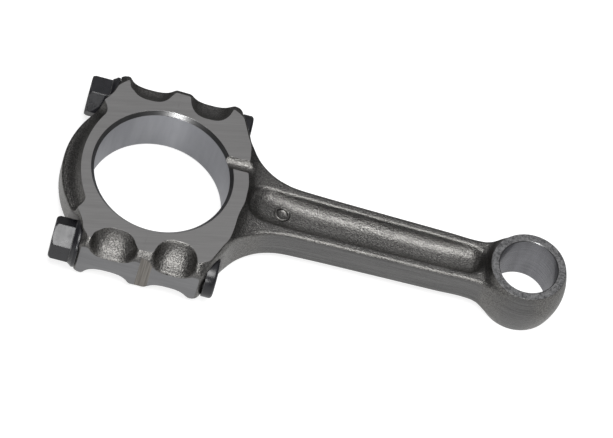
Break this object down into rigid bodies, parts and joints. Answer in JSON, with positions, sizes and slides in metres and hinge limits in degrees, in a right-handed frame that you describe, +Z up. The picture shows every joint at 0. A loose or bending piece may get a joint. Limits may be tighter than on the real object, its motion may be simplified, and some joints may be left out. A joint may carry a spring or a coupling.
{
  "type": "connecting rod",
  "caption": "Forged engine connecting rod with a bolted bearing cap, ground crank-bore faces and an I-section beam to a plain piston-pin eye.",
  "frame": {"origin": "middle of the part's outline, on the plane it lies on (the lower thrust faces)", "axes": "+X along the beam from the crank bore to the piston-pin eye, +Y across the rod, +Z up along both bores"},
  "size_m": [0.2064, 0.0886, 0.024],
  "materials": {
    "forged_steel_rod": "shot-blasted forging with ground faces",
    "forged_steel_cap": "shot-blasted forging with ground faces",
    "bolt_steel_left": "black oxide",
    "bolt_steel_right": "black oxide",
    "nut_steel_left": "black oxide",
    "nut_steel_right": "black oxide"
  },
  "bodies": {
    "rod": {"rod_forging": "forged_steel_rod", "rod_bolt_left": "bolt_steel_left", "rod_bolt_right": "bolt_steel_right"},
    "cap": {"bearing_cap": "forged_steel_cap"},
    "nut_left": {"rod_nut_left": "nut_steel_left"},
    "nut_right": {"rod_nut_right": "nut_steel_right"}
  },
  "joints": [
    {"name": "cap_slide", "type": "slide", "parent": "rod", "child": "cap", "axis": [-1, 0, 0], "range_m": [0, 0.01]},
    {"name": "nut_left_turn", "type": "hinge", "parent": "cap", "child": "nut_left", "pos_m": [-0.0945, 0.0345, 0.012], "axis": [-1, 0, 0], "range_deg": [0, 3600]},
    {"name": "nut_right_turn", "type": "hinge", "parent": "cap", "child": "nut_right", "pos_m": [-0.0945, -0.0345, 0.012], "axis": [-1, 0, 0], "range_deg": [0, 3600]}
  ],
  "couplings": [
    {"joint": "nut_left_turn", "follows": "cap_slide", "rad_per_m": 6283.2},
    {"joint": "nut_right_turn", "follows": "cap_slide", "rad_per_m": 6283.2}
  ]
}
